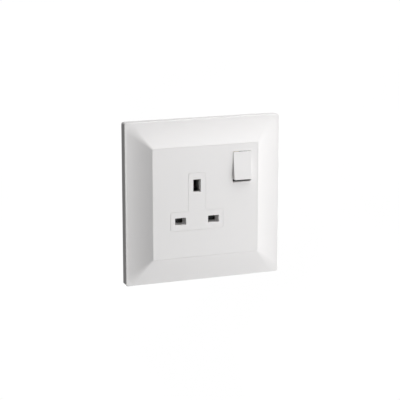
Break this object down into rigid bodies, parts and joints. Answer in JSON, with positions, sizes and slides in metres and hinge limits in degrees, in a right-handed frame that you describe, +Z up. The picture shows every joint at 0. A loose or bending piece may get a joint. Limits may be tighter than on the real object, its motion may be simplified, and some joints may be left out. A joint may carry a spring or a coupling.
{
  "type": "switched socket module",
  "caption": "Square switched wall socket for rectangular plug pins, with a rocker switch, a pin shutter and a clip-on scooped surround.",
  "frame": {"origin": "midway between the two fixing screws, in the wall plane", "axes": "+Y into the wall, +Z up, +X to the right as seen from the room"},
  "size_m": [0.104, 0.035, 0.104],
  "materials": {
    "white_plastic": "polished moulding",
    "inner_white_plastic": "satin moulding",
    "grey_moulding": "satin moulding",
    "black_plastic": "satin moulding",
    "plated_steel": "zinc plated",
    "brass": "rolled strip",
    "contact_silver": "pressed silver alloy"
  },
  "bodies": {
    "mechanism": {"surround_frame": "white_plastic", "centre_cover": "white_plastic", "front_housing": "inner_white_plastic", "inner_barrier": "inner_white_plastic", "rear_base": "grey_moulding", "support_plate": "plated_steel", "shutter_spring": "plated_steel", "neutral_contact": "brass", "line_contact": "brass", "earth_contact": "brass", "switch_fixed_contact": "brass", "neutral_terminal": "brass", "earth_terminal": "brass", "line_terminal": "brass", "fixed_contact_tip": "contact_silver", "neutral_terminal_screw": "plated_steel", "earth_terminal_screw": "plated_steel", "line_terminal_screw": "plated_steel", "fixing_screw_left": "plated_steel", "fixing_screw_right": "plated_steel", "assembly_screw_upper_left": "plated_steel", "assembly_screw_lower_left": "plated_steel", "assembly_screw_lower_right": "plated_steel", "assembly_screw_top": "plated_steel"},
    "rocker_body": {"rocker": "white_plastic", "plunger_spring": "plated_steel"},
    "plunger_body": {"plunger": "grey_moulding"},
    "contact_arm_body": {"switch_contact_arm": "brass", "moving_contact_tip": "contact_silver"},
    "shutter_body": {"shutter": "black_plastic"}
  },
  "joints": [
    {"name": "rocker_pivot", "type": "hinge", "parent": "mechanism", "child": "rocker_body", "pos_m": [0.0244, -0.0055, 0.0205], "axis": [1, 0, 0], "range_deg": [0, 15]},
    {"name": "plunger_slide", "type": "slide", "parent": "rocker_body", "child": "plunger_body", "axis": [0, -0.9914, 0.1305], "range_m": [0, 0.0008], "stiffness_N_per_m": 60, "deforming": ["plunger_spring"]},
    {"name": "contact_arm_pivot", "type": "hinge", "parent": "mechanism", "child": "contact_arm_body", "pos_m": [0.0244, 0.0033, 0.0205], "axis": [1, 0, 0], "range_deg": [-20, 0]},
    {"name": "shutter_slide", "type": "slide", "parent": "mechanism", "child": "shutter_body", "axis": [0, 0, -1], "range_m": [0, 0.0055], "stiffness_N_per_m": 120, "springref_m": -0.004, "deforming": ["shutter_spring"]}
  ],
  "couplings": [
    {"joint": "contact_arm_pivot", "follows": "rocker_pivot", "ratio": -1.3333}
  ]
}
